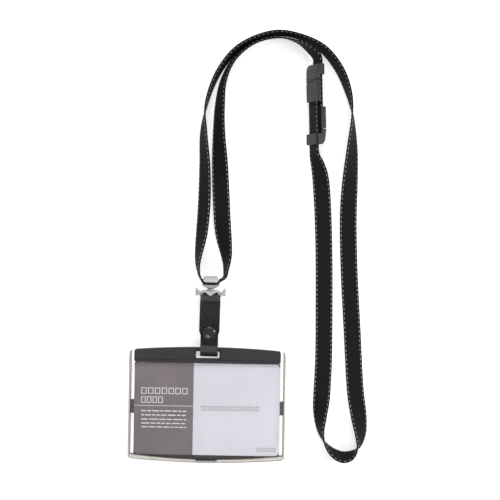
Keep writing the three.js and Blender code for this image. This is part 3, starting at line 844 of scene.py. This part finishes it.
# Placeholder print, in millimetres on the card: rows of hollow boxes, and rows of short dashes
printLook = {
    "cardTop": 3.16, "inkDepth": 0.03, "stroke": 0.42, "seed": 7,
    "boxRows": [
        # first x, middle y, box width, box height, step, how many, ink
        (-38.6, 7.9, 3.1, 3.7, 4.0, 7, "paleInk"),
        (-38.6, 2.6, 2.6, 3.7, 3.35, 4, "paleInk"),
        (-3.2, -1.9, 1.9, 2.7, 2.66, 13, "greyInk"),
        (29.6, -25.7, 1.7, 2.3, 2.35, 5, "greyInk"),
    ],
    "dashRows": [-3.95, -6.4, -8.9, -11.2, -13.4],
    "dashSpan": (-38.4, -11.9), "dashHeight": 0.62,
    "rule": (-42.6, -8.0, -0.86, 0.3),
}


def inkBlock(work, x0, x1, y0, y1, z0, z1):
    corners = [work.verts.new((x * mm, y * mm, z * mm)) for z in (z0, z1) for x, y in
               ((x0, y0), (x1, y0), (x1, y1), (x0, y1))]
    for index in ((3, 2, 1, 0), (4, 5, 6, 7), (0, 1, 5, 4), (1, 2, 6, 5), (2, 3, 7, 6), (3, 0, 4, 7)):
        work.faces.new([corners[i] for i in index])


def inkBox(work, x, y, width, height, stroke, z0, z1):
    low, high = y - height / 2, y + height / 2
    inkBlock(work, x, x + width, high - stroke, high, z0, z1)
    inkBlock(work, x, x + width, low, low + stroke, z0, z1)
    inkBlock(work, x, x + stroke, low + stroke, high - stroke, z0, z1)
    inkBlock(work, x + width - stroke, x + width, low + stroke, high - stroke, z0, z1)


def printCard(look):
    draws = random.Random(look["seed"])
    z0 = look["cardTop"]
    z1 = z0 + look["inkDepth"]
    works = {"paleInk": bmesh.new(), "greyInk": bmesh.new()}
    for x, y, width, height, step, count, ink in look["boxRows"]:
        for i in range(count):
            inkBox(works[ink], x + i * step, y, width, height, look["stroke"], z0, z1)
    first, last = look["dashSpan"]
    for y in look["dashRows"]:
        x = first
        while x < last - 1.0:
            length = min(draws.uniform(1.6, 5.4), last - x)
            half = look["dashHeight"] / 2
            inkBlock(works["paleInk"], x, x + length, y - half, y + half, z0, z1)
            x += length + 0.7
    x0, x1, y, thick = look["rule"]
    inkBlock(works["paleInk"], x0, x1, y - thick / 2, y + thick / 2, z0, z1)
    for ink, work in works.items():
        mesh = bpy.data.meshes.new("card_" + ink)
        work.to_mesh(mesh)
        work.free()
        settle(newPiece("card_" + ink, mesh, ink), "case", "printed_card")


printCard(printLook)
print("case: sleeve, bar, plate, card and print")


# ---- snap strap, in the hanger's own frame, millimetres ----
strapLook = {
    "thickness": 0.9, "grooveWidth": 0.28, "grooveDepth": 0.12,
    "webLeg": 1.95, "loopDrop": 1.8, "foldRadius": 1.75, "frontEnd": 15.5, "flapTop": 30.2, "flapEnd": 6.3,
    "columns": 18, "step": 0.3, "edge": 0.2, "panelInset": 1.6, "panelTop": 29.0, "panelDepth": 0.14,
}


def arcLine(centre, radius, start, end, steps=24):
    angles = [start + (end - start) * i / steps for i in range(steps + 1)]
    return [(centre + radius * math.cos(a), radius * math.sin(a)) for a in angles]


def evenLine(line, step):
    points = np.array(line)
    travelled = np.concatenate([[0], np.cumsum(np.linalg.norm(np.diff(points, axis=0), axis=1))])
    places = np.linspace(0, travelled[-1], max(2, round(travelled[-1] / step)) + 1)
    return np.stack([np.interp(places, travelled, points[:, k]) for k in (0, 1)], axis=1)


# A leather strip along a line of (y, z); its half width and the notch in its middle follow y
def leatherStrip(name, line, halfWidth, notch, look):
    work = bmesh.new()
    shares = [i / look["columns"] for i in range(look["columns"] + 1)]
    for side in (-1, 1):
        rows = []
        for y, z in evenLine(line, look["step"]):
            inner, outer = notch(y), halfWidth(y)
            places = [(side * (inner + (outer - inner) * share), y, z) for share in shares]
            rows.append([work.verts.new(place) for place in places])
        for first, second in zip(rows, rows[1:]):
            for i in range(len(first) - 1):
                work.faces.new((first[i], first[i + 1], second[i + 1], second[i])[::side])
    bmesh.ops.remove_doubles(work, verts=work.verts, dist=1e-4)
    mesh = bpy.data.meshes.new(name)
    work.to_mesh(mesh)
    work.free()
    mesh.transform(Matrix.Scale(mm, 4))
    piece = newPiece(name, mesh, "leather")
    thick = piece.modifiers.new("thickness", "SOLIDIFY")
    thick.thickness = look["thickness"] * mm
    thick.offset = 0
    thick.use_even_offset = True
    bevel = piece.modifiers.new("edges", "BEVEL")
    bevel.width = look["edge"] * mm
    bevel.segments = 3
    bevel.limit_method = "ANGLE"
    bevel.angle_limit = math.radians(50)
    bevel.use_clamp_overlap = False
    applied(piece)
    tidy = bmesh.new()
    tidy.from_mesh(piece.data)
    bmesh.ops.recalc_face_normals(tidy, faces=tidy.faces)
    tidy.to_mesh(piece.data)
    tidy.free()
    return piece


# Half widths along the strip, as straight stretches between (y, half width) corners
strapSides = [(-6, 5.15), (24, 5.15), (26, 5.8), (32.2, 5.8), (33.5, 4.0), (34.3, 3.35), (35.3, 3.0)]
flapSides = [(6.3, 1.3), (6.9, 2.9), (9.4, 5.15), (11.6, 5.95), (28.8, 5.95), (31.2, 5.8)]


def strapOuter(y):
    return float(np.interp(y, *zip(*strapSides)))


def strapNotch(y):
    return float(np.interp(y, (32.69, 34.29), (0, 3)))


def flapOuter(y):
    return float(np.interp(y, *zip(*flapSides)))


def smoothStep(value):
    value = min(max(value, 0), 1)
    return value * value * (3 - 2 * value)


# The flap's pressed panel: its middle lies a little lower than the border round it
def pressPanel(piece, look):
    for vertex in piece.data.vertices:
        x, y = vertex.co.x / mm, vertex.co.y / mm
        if vertex.normal.z < 0.6:
            continue
        inset = min(flapOuter(y) - abs(x), look["panelTop"] - y) - look["panelInset"]
        groove = math.exp(-(inset / look["grooveWidth"]) ** 2) * look["grooveDepth"]
        vertex.co.z -= (smoothStep(inset / 0.5 + 0.5) * look["panelDepth"] + groove) * mm


def makeStrap(look):
    leg, fold = look["webLeg"], look["foldRadius"]
    turn = math.pi / 2
    line = [(look["frontEnd"], leg), (9, leg), (8, 1.93), (7, 1.82), (5.8, 1.58), (4.8, 1.45), (3.9, 1.5)]
    line += [(2.8, 1.76), (1.8, 2.03), (0.9, 2.18), (0, 2.21), (-0.9, 2.12), (-1.5, 2.0)]
    line += [*arcLine(-look["loopDrop"], leg, turn, 3 * turn), (12, -1.9), (24, -1.8)]
    line += [*arcLine(foldDistance, fold, -turn, turn), (look["flapTop"], fold)]
    strap = leatherStrip("snap_strap_soft", line, strapOuter, strapNotch, look)
    strap.data.transform(hangerFrame)
    settle(smooth(strap), "strap", "soft_black", "snap_strap")
    line = [(look["flapTop"], fold), (29.2, 1.82), (28.3, 2.02), (27.0, 2.42), (25.5, 2.95), (23.7, 3.58)]
    line += [(22, 4.1), (20.3, 4.47), (18.5, 4.65), (look["flapEnd"], 4.65)]
    flap = leatherStrip("snap_flap_soft", line, flapOuter, lambda y: 0.0, look)
    pressPanel(flap, look)
    flap.data.transform(hangerFrame)
    smooth(flap)
    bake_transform(flap)
    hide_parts("snap_flap")


makeStrap(strapLook)


# Press snap, turned about its axis from (radius, height) in the hanger's frame, millimetres
snapLook = {
    "axisY": 10.78, "segments": 64, "corner": 0.12,
    "profiles": {
        "snap_rivet": ("snap_rivet_turned", "strap", "nickel", "snap_metal",
                       [(0, 0.85), (2.6, 0.85), (2.6, 1.2), (0.8, 1.2), (0.8, 3.0), (0, 3.0)]),
        "snap_stud": ("snap_stud_turned", "strap", "nickel", "snap_metal",
                      [(0, 3.3), (1.1, 3.3), (1.1, 2.7), (3.0, 2.7), (3.0, 3.0), (1.25, 3.0),
                       (1.05, 3.3), (1.3, 3.6), (1.15, 3.9), (0, 3.9)]),
        "snap_socket": ("snap_socket_turned", "flap", "nickel", "snap_metal",
                        [(1.7, 3.3), (3.3, 3.3), (3.3, 3.9), (1.7, 3.9)]),
        "snap_cap": ("snap_cap_turned", "flap", "enamel", "snap_gloss",
                     [(0, 4.2), (1.15, 4.2), (1.15, 5.1), (3.7, 5.1), (3.92, 5.4), (3.8, 5.8), (3.5, 5.95),
                      (3.35, 5.9), (3.15, 6.1), (2.4, 6.42), (1.3, 6.64), (0, 6.7)]),
    },
}


# The same outline with a small round at each corner
def roundedProfile(points, radius, closed):
    result = []
    count = len(points)
    for i, point in enumerate(points):
        here = Vector(point)
        if not closed and i in (0, count - 1):
            result.append(here)
            continue
        before, after = Vector(points[i - 1]), Vector(points[(i + 1) % count])
        into = (before - here).normalized() * min(radius, (before - here).length * 0.45)
        away = (after - here).normalized() * min(radius, (after - here).length * 0.45)
        for t in (0, 0.33, 0.67, 1):
            result.append(here + into * (1 - t) ** 2 + away * t ** 2)
    return result


def turnedPiece(name, points, look, axisY, segments, corner):
    closed = points[0][0] > 0
    outline = roundedProfile(points, corner, closed)
    work = bmesh.new()
    rings = []
    for radius, z in outline:
        if radius < 1e-6:
            rings.append([work.verts.new((0, axisY, z))])
            continue
        angles = [2 * math.pi * i / segments for i in range(segments)]
        places = [(radius * math.cos(a), axisY + radius * math.sin(a), z) for a in angles]
        rings.append([work.verts.new(place) for place in places])
    pairs = list(zip(rings, rings[1:])) + ([(rings[-1], rings[0])] if closed else [])
    for low, high in pairs:
        for i in range(segments):
            k = (i + 1) % segments
            corners = [low[i % len(low)], low[k % len(low)], high[k % len(high)], high[i % len(high)]]
            work.faces.new(list(dict.fromkeys(corners)))
    bmesh.ops.recalc_face_normals(work, faces=work.faces)
    mesh = bpy.data.meshes.new(name)
    work.to_mesh(mesh)
    work.free()
    mesh.transform(hangerFrame @ Matrix.Scale(mm, 4))
    return smooth(newPiece(name, mesh, look), 50)


for node, (name, body, look, slotName, points) in snapLook["profiles"].items():
    piece = turnedPiece(name, points, look, snapLook["axisY"], snapLook["segments"], snapLook["corner"])
    settle(piece, body, slotName, node)
print("snap strap: strip, flap and press snap")


# ---- swivel and connectors ----
hardEdges = {"yoke": 0.1 * mm, "ring": 0.16 * mm, "connector": 0.28 * mm}
yoke = softenedCopy("swivel_yoke", "yoke_moulding", ["frosted", "frostedEdge"], hardEdges["yoke"])
ring = softenedCopy("swivel_ring", "ring_moulding", ["frosted", "frostedEdge"], hardEdges["ring"])
settle(yoke, "yoke", "frosted_plastic", "swivel_yoke")
settle(ring, "lanyard", "frosted_plastic", "swivel_ring")
for end in ("upper", "lower"):
    for part in ("ring", "clamp_front", "clamp_back"):
        node = f"{end}_{part}"
        looks = ["connector", "connectorEdge"]
        piece = softenedCopy(node, node + "_moulding", looks, hardEdges["connector"])
        settle(piece, f"{end}_connector" if part == "ring" else "lanyard", "connector_plastic", node)
print("swivel and connectors")
